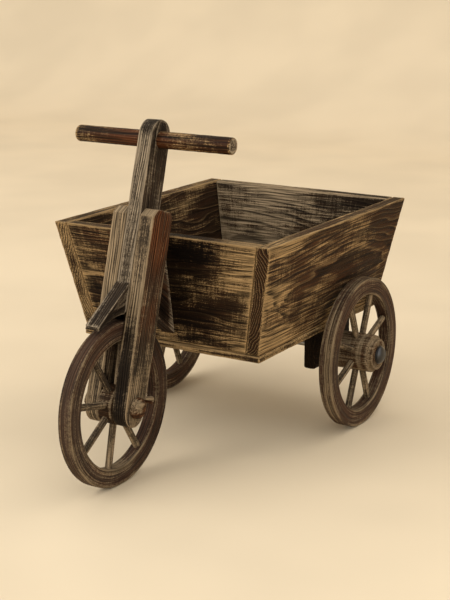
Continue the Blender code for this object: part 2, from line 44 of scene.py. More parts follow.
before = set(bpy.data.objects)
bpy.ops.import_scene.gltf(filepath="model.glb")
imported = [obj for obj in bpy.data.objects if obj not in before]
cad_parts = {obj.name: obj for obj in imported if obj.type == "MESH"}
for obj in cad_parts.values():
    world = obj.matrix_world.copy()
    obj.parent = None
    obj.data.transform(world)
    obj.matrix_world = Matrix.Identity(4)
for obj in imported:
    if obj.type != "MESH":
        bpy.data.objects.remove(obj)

# Camera of the photo, in metres, with the long side of the picture across the sensor
CAMERA_PLACE = Vector((1.0218, -1.6133, 0.7029))
CAMERA_FORWARD = Vector((-0.50149, 0.82740, -0.25280))
CAMERA_LENS = 84.46
CAMERA_SENSOR = 36.0

# Stage, in metres
SWEEP_WIDTH = 22.0
SWEEP_FRONT = -11.0
SWEEP_BACK = 2.6
SWEEP_BEND = 1.1
SWEEP_HEIGHT = 4.2
SWEEP_BEND_STEPS = 24

# Spacing of points on the timber, in metres
ALONG_PITCH = 0.006
ACROSS_PITCH = 0.0022
THROUGH_PITCH = 0.0035
EDGE_STEPS = (0.0, 0.3, 0.65, 1.0, 2.2)
EDGE_REACH = 0.0055
LATHE_PITCH = 0.0025
EASING_STEPS = 4

# Where a piece lies in its log, in metres: along it, and from its pith, across and through; some pieces
# have a pith of their own
LOG_SPAN = (1, 9)
PITH_ASIDE = 0.02
PITH_NEAR = 0.065
PITH_FAR = 0.105
PITHS = {"left_side_panel": (0.03, -0.17), "right_side_panel": (0.0, 0.085),
         "right_fork_cheek": (0.06, -0.05), "stem": (0.06, -0.055)}

# Least and most that the grain of a spoke or a screw is moved
SHIFT_LOW = (1, -0.02, 0.01)
SHIFT_HIGH = (9, 0.02, 0.03)

# Relief of the boards: stretch of its noises along, across and through, and the share of the slow one
BRUSHED = np.array((9, 260, 260))
SLOW = np.array((6, 20, 20))
NICKED = np.array((55, 70, 70))
SLOW_SHARE = 0.8

# Wobble of the turned pieces: scales of its noises, the share of the fine one, and, in metres, its usual
# depth and the least radius it is measured by
WOBBLE = 75
FINE_WOBBLE = 240
FINE_WOBBLE_SHARE = 0.4
WOBBLE_DEPTH = 0.0003
WOBBLE_CORE = 0.004

# Slack in joining and picking points, in metres
WELD = 1e-6
LEVEL_SLACK = 0.0004
FACE_SLACK = 0.0005
TIP_SLACK = 0.0008

# Rounded ends of the fork's boards: first turn, steps, and the least square of the share of their radius
END_TURN = 0.05
END_STEPS = 12
LEAST_SQUARE = 0.002

# Radius of the cheeks' tops as a share of half the stem's width, and other radii, in metres
CHEEK_TOP = 0.49
STEM_FOOT = 0.002
FLOOR_ROUNDING = 0.002

# Turned pieces: facets round a rod, the most of a side that easing takes, and easings, in metres
ROD_SIDES = 32
EASE_LIMIT = 0.45
HANDLE_EASING = 0.0025
ROD_EASING = 0.0005
PEG_EASING = 0.0008
WASHER_EASING = 0.0003

# Caps, whittled wooden ones in front and domed metal ones behind: outlines in shares of depth and radius
WHITTLED = ((0.0, 1.0), (0.42, 0.98), (0.74, 0.84), (0.93, 0.55), (1.0, 0.0))
WHITTLED_EASING = 0.0025
WHITTLED_WOBBLE = 0.0020
DOME_TURNS = np.linspace(0.25, math.pi / 2, 9)[:-1]
DOMED = [(0.0, 1.0)] + [(math.sin(turned), math.cos(turned)) for turned in DOME_TURNS] + [(1.0, 0.0)]
DOMED_EASING = 0.0006

# Wheels, in metres, with the grooves' places as shares of half a hub's or rim's width, and the part of a
# rim's points that gives its inner radius
HUB_EASING = 0.0012
HUB_WOBBLE = 0.0002
HUB_NOSE = 0.0075
HUB_NOSE_SLOPE = 0.0008
HUB_GROOVES = (-0.62, 0.45)
HUB_GROOVE_HALF = 0.0012
TREAD_GROOVE_PLACE = 0.1
TREAD_GROOVE_SPREAD = 1.5
INNER_PART = 8
SPOKE_EASING = 0.0004
SPOKE_SIDES = 20

# Screw heads: how far one is set below its board in the CAD model, in metres, and shares of its radius
SCREW_SET = 0.0005
SCREW_LIFT = 0.0002
SCREW_ROOT = (-0.002, 0.4)
SCREW_STEPS = 15
SCREW_SIDES = 48
SCREW_PROUD = 0.12
SLOT_HALF = 0.13
SLOT_REACH = 0.66
SLOT_DEPTH = 0.3

# Noise in the timber: its stretch along, across and through the grain, detail and roughness, its middle
# value, and how much each kind moves the rubbing
TIMBER_NOISE = {
    "fibre": ((18, 640, 640), 3.0, 0.6),
    "streak": ((8, 210, 210), 2.0, 0.55),
    "patch": ((11, 26, 26), 3.0, 0.55),
    "cloud": ((6, 13, 13), 2.0, 0.5),
    "stroke": ((260, 40, 40), 2.0, 0.5),
    "speck": ((480, 760, 760), 2.0, 0.6),
    "lines": ((900, 22, 22), 3.0, 0.65),
    "layer": ((14, 14, 420), 2.0, 0.6),
}
NOISE_MIDDLE = 0.5
RUB_SHARES = {"patch": 1.9, "fibre": 1.1, "speck": 1.1, "stroke": 0.6, "streak": 0.7}

# Where each part of the timber's look begins and is full
TIMBER_RAMPS = {
    "end grain": (-0.2, -0.8),
    "greyed": (0.0, -1.0),
    "late begins": (0.42, 0.80),
    "late ends": (1.0, 0.90),
    "early": (0.24, 0.0),
    "fine": (0.33, 0.67),
    "rubbed": (-0.16, 0.42),
    "tint by cloud": (0.25, 0.55),
    "tint by streak": (0.30, 0.56),
    "line by streak": (0.28, 0.62),
    "line by rubbing": (1.4, 0.9),
    "shade by cloud": (0.52, 0.72),
    "shade by rubbing": (0.50, -0.22),
}

# Rings round the pith, bent and spaced by slow noise
RINGS_PER_METRE = 290
RING_SWAY = (4, 16, 16)
RING_BEND = (0, 0.026, 0.026)
RING_SPACING = (1.5, 70, 70)

# Shares of the pale early wood, the hollows and the clouds, and how rough, deep and shiny the timber is
EARLY_SHARE = 0.75
HOLLOW_SHARE = 0.68
CLOUD_SHADE = 0.55
TIMBER_ROUGHNESS = (0.50, 0.25)
LATE_DEPTH = 0.6
TIMBER_BUMP_REACH = 0.0008
TIMBER_SHINE = 0.05

# Warm bare timber: how far it goes from grey to rubbed timber, and how bright that is
WARM_SHARE = 0.45
WARM_TONE = 0.8

# Metal: stretch of its smudges and scratches, how worn it is, and the strength and reach of its bump
SMUDGES = (90, 90, 90)
SCRATCHES = (1500, 120, 120)
SMUDGE_SPAN = (0.35, 0.70)
SMUDGE_WEAR = 0.35
EDGE_WEAR = 0.45
METAL_ROUGHNESS = (0.30, 0.22)
WORN_METAL = (0.62, 0.60, 0.57)
METAL_BUMP = (0.08, 0.0002)

# Stage: each light's name, place, target, size, power and colour, then the air and the paper
LIGHTS = (
    ("key", (-1.4, -2.4, 1.8), (0, 0, 0.2), 2.2, 26, (1.0, 0.97, 0.92)),
    ("fill", (2.6, -1.4, 1.0), (0, 0, 0.1), 2.2, 13, (1.0, 0.98, 0.95)),
    ("top", (0.3, 0.8, 3.0), (0, 0.2, 0.1), 2.4, 7, (1.0, 0.98, 0.95)),
)
AIR_COLOUR = (1.0, 0.97, 0.92, 1.0)
AIR_STRENGTH = 1.15
PAPER_CLOUDS = (2.5, 2.5, 2.5)
PAPER_CLOUD_SPAN = (0.3, 0.7)
PAPER_SHADES = (0.95, 1.04)
PAPER_ROUGHNESS = 0.9
PAPER_SHINE = 0.1

# Outputs of the shader groups, and the names of the attributes
LOOK = {"Colour": "Color", "Roughness": "Float", "Height": "Float"}
GRAIN = "grain"
EDGE = "edge"
SHIFT = "grain_shift"
MOOD = "mood"
FACING = "facing"


# Sizes and colours a user would change


def length_of(name, description, default, low, high):
    """A length that a user can set, in metres."""
    return bpy.props.FloatProperty(name=name, description=description, default=default, min=low, max=high,
                                   unit="LENGTH")


def count_of(name, description, default, low, high):
    """A count that a user can set."""
    return bpy.props.IntProperty(name=name, description=description, default=default, min=low, max=high)


def colour_of(name, description, default):
    """A colour that a user can set."""
    return bpy.props.FloatVectorProperty(name=name, description=description, default=default,
                                         subtype="COLOR", min=0.0, max=1.0)


class CartSizes(bpy.types.PropertyGroup):
    board_rounding: length_of("Board edge rounding", "Radius on the boards' edges", 0.0016, 0.0002, 0.004)
    block_rounding: length_of("Axle block rounding", "Radius on the blocks' edges", 0.0042, 0.0005, 0.008)
    rim_rounding: length_of("Rim rounding", "Radius on the wheel rims' corners", 0.0020, 0.0004, 0.005)
    relief_depth: length_of("Grain relief", "Depth of the boards' brushed grain", 0.00035, 0.0, 0.002)
    edge_nicks: length_of("Edge nicks", "Depth of the dents along worn edges", 0.0009, 0.0, 0.003)
    hub_groove: length_of("Hub groove", "Depth of the rear hubs' turned grooves", 0.0008, 0.0, 0.003)
    cheek_chamfer: length_of("Cheek chamfer", "Cut on the cheeks' front top corners", 0.0095, 0.002, 0.013)
    seam: length_of("Seam", "Open seam at each end of the tub's front and back", 0.0007, 0.0, 0.002)
    tread_groove: length_of("Tread groove", "Depth of the rear treads' groove", 0.0009, 0.0, 0.003)
    turned_sides: count_of("Turned sides", "Facets round the turned pieces", 48, 16, 96)
    rim_sides: count_of("Rim sides", "Facets round the wheel rims", 144, 48, 256)


class CartColours(bpy.types.PropertyGroup):
    stain: colour_of("Stain", "Darkest stain in the grain", (0.0042, 0.0025, 0.0016))
    timber: colour_of("Timber", "Stained timber between the grain lines", (0.048, 0.0260, 0.0118))
    rubbed: colour_of("Rubbed", "Timber where the stain is rubbed off", (0.415, 0.268, 0.122))
    rubbed_grey: colour_of("Rubbed grey", "Greyer rubbed timber, as on the fork", (0.352, 0.274, 0.184))
    red_timber: colour_of("Red timber", "Redder timber, as on the handle", (0.170, 0.052, 0.017))
    rim_timber: colour_of("Rim timber", "Stained timber of the wheel rims", (0.068, 0.044, 0.030))
    grey_timber: colour_of("Grey timber", "Greyer stained timber, as on the fork", (0.062, 0.044, 0.028))
    steel: colour_of("Steel", "Axles and screws", (0.300, 0.290, 0.275))
    dark_steel: colour_of("Dark steel", "Washers and axle push caps", (0.022, 0.023, 0.027))
    paper: colour_of("Paper", "Studio floor and backdrop", (0.720, 0.602, 0.430))


# Node helpers


def put(tree, kind, inputs=None, **settings):
    """Adds a node with these settings, and links or sets each input by its name or number."""
    node = tree.nodes.new(kind)
    for name, value in settings.items():
        setattr(node, name, value)
    for key, value in (inputs or {}).items():
        if isinstance(value, bpy.types.NodeSocket):
            tree.links.new(value, node.inputs[key])
        else:
            node.inputs[key].default_value = value
    return node


def calc(tree, operation, *values, clamp=False):
    node = put(tree, "ShaderNodeMath", dict(enumerate(values)), operation=operation, use_clamp=clamp)
    return node.outputs[0]


def times(tree, first, second, clamp=False):
    return calc(tree, "MULTIPLY", first, second, clamp=clamp)


def plus(tree, first, second, clamp=False):
    return calc(tree, "ADD", first, second, clamp=clamp)


def vector_calc(tree, operation, first, second):
    return put(tree, "ShaderNodeVectorMath", {0: first, 1: second}, operation=operation).outputs[0]


def noise_at(tree, vector, stretch, detail=2.0, roughness=0.5, output=0):
    spot = vector_calc(tree, "MULTIPLY", vector, stretch)
    inputs = {"Vector": spot, "Scale": 1.0, "Detail": detail, "Roughness": roughness}
    return put(tree, "ShaderNodeTexNoise", inputs).outputs[output]


def attribute(tree, name, output="Vector"):
    return put(tree, "ShaderNodeAttribute", attribute_name=name).outputs[output]


def ramp(tree, value, low, high):
    """A value spread from 0 at low to 1 at high, smoothly."""
    node = put(tree, "ShaderNodeMapRange", {"Value": value, "From Min": low, "From Max": high},
               interpolation_type="SMOOTHSTEP")
    return node.outputs[0]


def blended(tree, share, first, second):
    """Two colours mixed by a share; a mix node's colours are its inputs 6 and 7 and its output 2."""
    node = put(tree, "ShaderNodeMix", {0: share, 6: first, 7: second}, data_type="RGBA")
    return node.outputs[2]


def new_group(name, kind, inputs, outputs):
    """A node group with sockets of these names and kinds, the values given to it, and its output node."""
    tree = bpy.data.node_groups.new(name, kind)
    for way, sockets in (("INPUT", inputs), ("OUTPUT", outputs)):
        for label, socket in sockets.items():
            tree.interface.new_socket(label, in_out=way, socket_type="NodeSocket" + socket)
    return tree, tree.nodes.new("NodeGroupInput").outputs, tree.nodes.new("NodeGroupOutput")


def shared_group(name, build):
    return bpy.data.node_groups.get(name) or build(name)


def give(tree, result, *values):
    """Links these values to a group's outputs, in order."""
    for value, socket in zip(values, result.inputs):
        tree.links.new(value, socket)


def timber_group(name):
    """Stained timber: growth rings, fibres, wiped patches and worn edges, from the pieces' attributes."""
    colours = dict.fromkeys(("Stain", "Timber", "Tint", "Rubbed", "Greyed"), "Color")
    numbers = dict.fromkeys(("Rings", "Cover", "Edges", "Turning", "Plies"), "Float")
    tree, value, result = new_group(name, "ShaderNodeTree", colours | numbers, LOOK)
    grain = attribute(tree, GRAIN)
    edge = attribute(tree, EDGE, "Fac")
    soot_and_shade, tint, rub_and_light = put(tree, "ShaderNodeSeparateXYZ", {0: attribute(tree, MOOD)}).outputs

    def spread(source, ramp_name):
        return ramp(tree, source, *TIMBER_RAMPS[ramp_name])

    # Soot and painted shade below zero marks end grain, with unbroken ring lines, and tint below zero marks
    # greyed timber
    end_grain = spread(soot_and_shade, "end grain")
    bare = blended(tree, spread(tint, "greyed"), value["Rubbed"], value["Greyed"])

    # Rings round the pith, bent by slow noise
    sway = noise_at(tree, grain, RING_SWAY, output="Color")
    centred = vector_calc(tree, "SUBTRACT", sway, (NOISE_MIDDLE,) * 3)
    bend = vector_calc(tree, "MULTIPLY", centred, RING_BEND)
    bent = vector_calc(tree, "ADD", grain, bend)
    _, across, through = put(tree, "ShaderNodeSeparateXYZ", {0: bent}).outputs
    squares = plus(tree, times(tree, across, across), times(tree, through, through))
    spacing = noise_at(tree, bent, RING_SPACING, detail=1.0)
    turns = plus(tree, times(tree, calc(tree, "SQRT", squares), RINGS_PER_METRE), spacing)
    phase = calc(tree, "FRACT", turns)
    late = times(tree, spread(phase, "late begins"), spread(phase, "late ends"))
    early = spread(phase, "early")

    # Fibres and streaks along the grain, patches, strokes across it and specks, and then the lines round
    # a turned piece and the layers of a plied rim
    noises = {key: noise_at(tree, grain, *shape) for key, shape in TIMBER_NOISE.items()}
    streak = noises["streak"]
    fine = spread(noises["fibre"], "fine")

    # Where the stain is rubbed off, and where some pieces have light painted on as paler timber
    total = plus(tree, value["Cover"], rub_and_light)
    shares = RUB_SHARES | {"lines": value["Turning"], "layer": value["Plies"]}
    for key, share in shares.items():
        centred = calc(tree, "SUBTRACT", noises[key], NOISE_MIDDLE)
        total = plus(tree, total, times(tree, centred, share))
    total = plus(tree, total, times(tree, edge, value["Edges"]))
    rubbed = spread(total, "rubbed")

    # Stained, tinted and bare timber, with pale early wood
    tinted_share = times(tree, tint, spread(noises["cloud"], "tint by cloud"), clamp=True)
    tinted_share = times(tree, tinted_share, spread(streak, "tint by streak"))
    under = blended(tree, tinted_share, value["Timber"], value["Tint"])
    shown = blended(tree, rubbed, under, bare)
    thin = times(tree, times(tree, early, value["Rings"]), calc(tree, "MAXIMUM", streak, end_grain))
    shown = blended(tree, times(tree, thin, EARLY_SHARE), shown, bare)

    # Stain in the late wood, in hollows and in clouds, and the mood's soot, which on some pieces is painted
    # shade
    unbroken = calc(tree, "MAXIMUM", spread(streak, "line by streak"), end_grain)
    dark_line = times(tree, times(tree, late, value["Rings"]), unbroken, clamp=True)
    dark_line = times(tree, dark_line, calc(tree, "SUBTRACT", 1.0, edge, clamp=True))
    dark_line = times(tree, dark_line, spread(total, "line by rubbing"))
    hollow = times(tree, calc(tree, "SUBTRACT", 1.0, fine), HOLLOW_SHARE)
    shade = times(tree, spread(noises["cloud"], "shade by cloud"), CLOUD_SHADE)
    shade = times(tree, plus(tree, soot_and_shade, shade, clamp=True), spread(total, "shade by rubbing"))
    for share in (dark_line, hollow, shade):
        shown = blended(tree, share, shown, value["Stain"])

    smooth, rougher = TIMBER_ROUGHNESS
    rough = plus(tree, smooth, times(tree, fine, rougher))
    height = calc(tree, "SUBTRACT", fine, times(tree, late, LATE_DEPTH))
    height = plus(tree, height, times(tree, noises["lines"], value["Turning"]))
    give(tree, result, shown, rough, height)
    return tree


def metal_group(name):
    """Dull metal: smudges, fine scratches and paler worn edges."""
    tree, value, result = new_group(name, "ShaderNodeTree", {"Metal": "Color", "Worn": "Color"}, LOOK)
    grain = attribute(tree, GRAIN)
    smudge = ramp(tree, noise_at(tree, grain, SMUDGES, detail=3.0), *SMUDGE_SPAN)
    scratch = noise_at(tree, grain, SCRATCHES)
    worn_edge = times(tree, attribute(tree, EDGE, "Fac"), EDGE_WEAR)
    share = plus(tree, times(tree, smudge, SMUDGE_WEAR), worn_edge, clamp=True)
    shown = blended(tree, share, value["Metal"], value["Worn"])
    smooth, rougher = METAL_ROUGHNESS
    give(tree, result, shown, plus(tree, smooth, times(tree, smudge, rougher)), scratch)
    return tree


def set_inputs(node, values):
    for key, value in values.items():
        node.inputs[key].default_value = value


def new_material(name):
    """A material with its node tree and its Principled shader."""
    material = bpy.data.materials.new(name)
    material.use_nodes = True
    return material, material.node_tree, material.node_tree.nodes["Principled BSDF"]


def grouped_material(name, group, values, bump, bump_reach, metallic=0.0, coat=0.0, shine=0.5):
    """A Principled material whose colour, roughness and bump come from a shared group."""
    if name in bpy.data.materials:
        return bpy.data.materials[name]
    material, tree, shader = new_material(name)
    look = put(tree, "ShaderNodeGroup", values, node_tree=group)
    raised = {"Strength": bump, "Distance": bump_reach, "Height": look.outputs["Height"]}
    normal = put(tree, "ShaderNodeBump", raised).outputs["Normal"]
    tree.links.new(look.outputs["Colour"], shader.inputs["Base Color"])
    tree.links.new(look.outputs["Roughness"], shader.inputs["Roughness"])
    tree.links.new(normal, shader.inputs["Normal"])
    set_inputs(shader, {"Metallic": metallic, "Coat Weight": coat, "Specular IOR Level": shine})
    return material


def tinted(colour, share, towards=None):
    """A colour times a share, or moved by that share towards another colour, with full alpha."""
    if towards is None:
        values = [share * part for part in colour]
    else:
        values = [part + share * (other - part) for part, other in zip(colour, towards)]
    return tuple(values) + (1.0,)


def timber_material(name, colours, base=None, bare=None, tone=1.0, lift=1.0, rings=0.8, cover=0.0,
                    edges=0.6, turning=0.0, plies=0.0, bump=0.55, coat=0.0):
    """Stained timber; tone darkens its stain and base colour, and lift its bare wood."""
    values = {"Stain": tinted(colours.stain, tone), "Timber": tinted(base or colours.timber, tone),
              "Tint": tinted(colours.red_timber, 1.0), "Rubbed": tinted(bare or colours.rubbed, lift),
              "Greyed": tinted(colours.rubbed_grey, lift), "Rings": rings,
              "Cover": cover, "Edges": edges, "Turning": turning, "Plies": plies}
    group = shared_group("Stained timber", timber_group)
    return grouped_material(name, group, values, bump, TIMBER_BUMP_REACH, coat=coat, shine=TIMBER_SHINE)


def metal_material(name, metal, wear):
    """Dull metal that wears this far towards bright metal."""
    values = {"Metal": tinted(metal, 1.0), "Worn": tinted(metal, wear, WORN_METAL)}
    group = shared_group("Dull metal", metal_group)
    return grouped_material(name, group, values, *METAL_BUMP, metallic=1.0)


def finishes(colours):
    """The material of each slot."""
    grey = colours.grey_timber
    bare = colours.rubbed_grey
    warm = tinted(bare, WARM_SHARE, tinted(colours.rubbed, WARM_TONE))[:3]
    timbers = {
        "tub": dict(rings=0.9, cover=-0.06, edges=0.95),
        "fork": dict(base=grey, bare=bare, rings=1.0, cover=-0.13),
        "cheek": dict(base=grey, bare=warm, rings=1.0, cover=-0.16),
        "handle": dict(tone=0.6, rings=0.6, cover=-0.16, edges=0.4, bump=0.25, coat=0.05),
        "rim": dict(base=colours.rim_timber, bare=warm, lift=0.68, rings=0.35, cover=-0.20, edges=0.35,
                    plies=0.4),
        "hub": dict(bare=warm, lift=0.80, rings=0.3, cover=0.17, edges=0.4, turning=0.8),
        "spoke": dict(base=grey, bare=warm, rings=0.45, cover=0.10),
        # The axle blocks' timber is darkened to near black as painted shade, for they stand in the tub's
        # shadow
        "block": dict(tone=0.3, lift=0.4, rings=0.5, cover=-0.9, edges=0.2),
    }
    steels = {
        "dark": dict(metal=colours.dark_steel, wear=0.12),
        "rod": dict(metal=colours.steel, wear=0.45),
        "screw": dict(metal=colours.steel, wear=0.45),
    }
    found = {}
    for key, look in timbers.items():
        found[key + "_wood"] = timber_material(key.capitalize() + " timber", colours, **look)
    for key, look in steels.items():
        found[key + "_steel"] = metal_material(key.capitalize() + " steel", **look)
    return found


def slot_material(slot):
    return finishes(bpy.context.scene.cart_colours)[slot]


# Mesh helpers


def sizes():
    return bpy.context.scene.cart_sizes


def cad_points(node):
    return np.array([vertex.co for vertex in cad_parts[node].data.vertices])


def centre_of(node):
    low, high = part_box(node)
    return (low + high) / 2


def round_size(node):
    """Half a turned node's length along X, and its radius."""
    low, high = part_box(node)
    return (high.x - low.x) / 2, (high.z - low.z) / 2


def reach_of(points):
    """How far points lie from the X axis."""
    return np.hypot(points[:, 1], points[:, 2])


def between(low, high, share):
    return low + (high - low) * share


def link(name, data):
    """A new object in the scene."""
    thing = bpy.data.objects.new(name, data)
    bpy.context.scene.collection.objects.link(thing)
    return thing


def grain_start(name):
    """Where a piece lies in its log: its own place along it, and its pith to one side."""
    pick = random.Random(name)
    if name in PITHS:
        return np.array([pick.uniform(*LOG_SPAN), *PITHS[name]])
    side = pick.choice((-1, 1))
    place = pick.uniform(*LOG_SPAN)
    aside = pick.uniform(-PITH_ASIDE, PITH_ASIDE)
    return np.array([place, aside, side * pick.uniform(PITH_NEAR, PITH_FAR)])


def marks(length, pitch, radius):
    """Shares along a side: close together in its rounded ends and evenly spaced between them."""
    near = np.array(EDGE_STEPS) * radius
    count = max(2, round((length - 2 * near[-1]) / pitch))
    middle = np.linspace(near[-1], length - near[-1], count + 1)
    return np.concatenate((near[:-1], middle, (length - near[:-1])[::-1])) / length


def box_lattice(along, across, through):
    """Shares of the points on a box's six faces, and the quads that join them."""
    shape = (len(along), len(across), len(through))
    shown = np.zeros(shape, dtype=bool)
    for axis in range(3):
        side = np.moveaxis(shown, axis, 0)
        side[0] = True
        side[-1] = True
    number = np.full(shape, -1)
    number[shown] = np.arange(shown.sum())
    first, second, third = np.nonzero(shown)
    shares = np.column_stack((along[first], across[second], through[third]))
    quads = []
    for axis in range(3):
        for end in (0, -1):
            face = np.take(number, end, axis=axis)
            corners = (face[:-1, :-1], face[1:, :-1], face[1:, 1:], face[:-1, 1:])
            quads.append(np.stack(corners, axis=-1).reshape(-1, 4))
    return shares, np.concatenate(quads)


def relief(point, edge):
    """How far the surface stands out or in at a point of the grain, in metres."""
    brushed, slow, nick = (noise.noise(Vector(point * stretch)) for stretch in (BRUSHED, SLOW, NICKED))
    depth = sizes().relief_depth * (brushed + SLOW_SHARE * slow)
    return depth - sizes().edge_nicks * edge * max(0.0, nick)


def add_mesh(name, points, quads, grain, edge, material, mood=None):
    """An object at the origin, with grain, edge and mood attributes on its points and its faces outward."""
    mesh = bpy.data.meshes.new(name)
    mesh.from_pydata(points.tolist(), [], quads.tolist())
    layers = [(GRAIN, "FLOAT_VECTOR", "vector", grain), (EDGE, "FLOAT", "value", edge)]
    if mood is not None:
        layers.append((MOOD, "FLOAT_VECTOR", "vector", mood))
    for label, kind, key, values in layers:
        layer = mesh.attributes.new(label, kind, "POINT")
        layer.data.foreach_set(key, values.astype(np.float32).ravel())
    form = bmesh.new()
    form.from_mesh(mesh)
    bmesh.ops.remove_doubles(form, verts=form.verts, dist=WELD)
    bmesh.ops.recalc_face_normals(form, faces=form.faces)
    form.to_mesh(mesh)
    form.free()
    mesh.shade_smooth()
    mesh.materials.append(material)
    return link(name, mesh)


def stand_for(piece, body, slot, *nodes):
    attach(piece, body)
    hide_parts(*nodes)


def add_board(node, size, place, radius, slot, along=None):
    """A worn, brushed board of this length, width and thickness, placed by shares of its sides."""
    size = np.array(size)
    if along is None:
        along = marks(size[0], ALONG_PITCH, radius)
    across = marks(size[1], ACROSS_PITCH, radius)
    through = marks(size[2], THROUGH_PITCH, radius)
    shares, quads = box_lattice(along, across, through)
    local = (shares - 0.5) * size
    core = np.clip(local, radius - size / 2, size / 2 - radius)
    outward = local - core
    outward /= np.linalg.norm(outward, axis=1)[:, None]
    inside = np.sort(size / 2 - np.abs(local), axis=1)[:, 1]
    edge = np.clip(1 - inside / EDGE_REACH, 0, 1) ** 2
    local = core + outward * radius
    grain = local + grain_start(node)
    depth = np.array([relief(point, worn) for point, worn in zip(grain, edge)])
    local += outward * depth[:, None]
    mood = None
    if node in MOODS:
        mood = np.array([MOODS[node](*values) for values in zip(shares, outward)])
    spots = place(local / size + 0.5)
    piece = add_mesh(node + "_timber", spots, quads, grain, edge, slot_material(slot), mood)
    stand_for(piece, "cart", slot, node)


# Moods: a piece's soot, tint and rubbing, by its shares along, across and through and its outward way. On
# some pieces the soot holds painted shade and the rubbing painted light. A point faces a side when its
# outward way leans to that side by more than FACES.


FACES = 0.5
CHAMFER_START = 0.962
END_MOOD = (-1.0, 0.15, -0.32)
HANDLE_MOOD = (0.4, 0.5, 0.06)
HANDLE_FADE = 1.1
HANDLE_RED_REACH = 0.08
HANDLE_END = 0.0005
HANDLE_END_MOOD = (0.0, -0.8, 0.3)
CAP_MOOD = (0.1, 0.4, -0.95)
# The pale patch on the front caps' upper front: a painted highlight as well as wear
CAP_HIGHLIGHT_AND_WEAR_SPOT = (-0.006, 0.005)
CAP_HIGHLIGHT_AND_WEAR_REACH = 0.012
CAP_HIGHLIGHT_AND_WEAR_RUB = 1.3
CHAMFER_RUB = 1.3
FRONT_HUB_MOOD = (0.4, 0.2, -0.55)
REAR_HUB_MOOD = (0.1, 0.5, 0.06)
REAR_RIM_MOOD = (0.05, 0.3, 0.10)
FRONT_RIM_MOOD = (0.05, 0.25, 0.02)
RIM_FADE = 1.3


def swell(value, middle, width):
    """1 at the middle, falling smoothly to 0 a width away."""
    return max(0.0, 1 - ((value - middle) / width) ** 2) ** 2


def front_panel_mood(share, outward):
    """Painted shadow of the fork with darker stain round the fork, rubbed at the right-hand end and along
    the foot.
    """
    along, across, _ = share
    if outward[2] > FACES:
        return 0.15, 0.3, 0.0
    # Darker round the fork, as the fork's painted shadow together with darker stain, and a little darker
    # further left
    soot_and_shade = 0.85 * swell(along, 0.64, 0.36) + 0.35 * swell(along, 0.2, 0.2)
    rub_and_light = 0.4 * swell(along, 0.98, 0.25) * across + 0.22 * swell(across, 0.0, 0.3)
    tint = 0.5 * swell(along, 0.25, 0.25) + 0.3 * swell(along, 0.75, 0.25)
    return soot_and_shade, tint, rub_and_light - 0.22 * soot_and_shade


def right_panel_mood(share, outward):
    """Rubbed at the front end and along the foot, darker towards the back and inside."""
    along, across, _ = share
    if abs(outward[0]) > FACES:
        return END_MOOD
    if outward[2] < -FACES:
        return 0.35, 0.2, -0.1
    rub_and_light = 0.45 * swell(along, 0.0, 0.38) + 0.2 * swell(across, 0.05, 0.3) - 0.12
    return 0.25 * swell(along, 0.75, 0.5) * across, 0.25, rub_and_light


def left_panel_mood(share, outward):
    """Dark inside, with paler end grain than the right side's."""
    if abs(outward[0]) > FACES:
        return END_MOOD[0], END_MOOD[1], 0.12
    return (0.3, 0.2, -0.08) if outward[2] > FACES else (0.1, 0.2, 0.05)


def back_panel_mood(share, outward):
    """Paler inside at its left end, darker at its right."""
    if outward[2] > FACES:
        return 0.1, 0.2, 0.0
    return 0.6 * swell(share[0], 0.85, 0.35), -0.6, 0.42 * swell(share[0], 0.25, 0.5)


def fork_mood(share, outward):
    """Rubbed grey on the front edge, dark on the sides near the top."""
    along, _, _ = share
    if outward[1] < -FACES:
        top = swell(along, 1.0, 0.16)
        return 0.75 * top, 0.0, 0.42 - 0.7 * top
    return 0.5 * swell(along, 1.0, 0.35) + 0.18, 0.15, 0.0


def dark_mood(share, outward):
    """Dark all over, but for the worn edges."""
    return 0.4, 0.1, -0.18


def brace_shade_and_light_mood(share, outward):
    """Painted shade below and near the stem, where the cheek's shadow falls, and painted light along the
    tub, rubbed bare.
    """
    # The underside: painted shade
    if outward[1] < -FACES:
        return 0.6, 0.4, -0.5
    # Near the stem the cheek's painted shadow, along the tub a painted lit strip, given as rubbing
    near_tub = swell(share[0], 1.0, 0.34)
    return 0.5 * (1 - near_tub), 0.5, 0.7 * near_tub - 0.25


def bare_chamfer(along):
    """More rubbing on the cut at a cheek's top."""
    return CHAMFER_RUB if along > CHAMFER_START else 0.0


def left_cheek_mood(share, outward):
    """As the stem's lower half, with a bare chamfer."""
    soot_and_shade, tint, rub_and_light = fork_mood((0.5 * share[0], *share[1:]), outward)
    return soot_and_shade, tint, rub_and_light + (bare_chamfer(share[0]) if outward[1] < -FACES else 0.0)


def right_cheek_mood(share, outward):
    """Rubbed grey on the front edge, red high on the outer face, tan low on it."""
    along, _, _ = share
    if outward[1] < -FACES:
        low = swell(along, 0.1, 0.6)
        return 0.1 + 0.6 * low, 0.0, 0.42 - 0.55 * low + bare_chamfer(along)
    red = swell(along, 0.85, 0.55)
    return 0.1, 1.8 * red, 0.34 * swell(along, 0.1, 0.5) - 0.08 * red


MOODS = {
    "front_panel": front_panel_mood,
    "right_side_panel": right_panel_mood,
    "left_side_panel": left_panel_mood,
    "back_panel": back_panel_mood,
    "stem": fork_mood,
    "left_fork_cheek": left_cheek_mood,
    "right_fork_cheek": right_cheek_mood,
    "fender_block": dark_mood,
    "brace_board": brace_shade_and_light_mood,
}


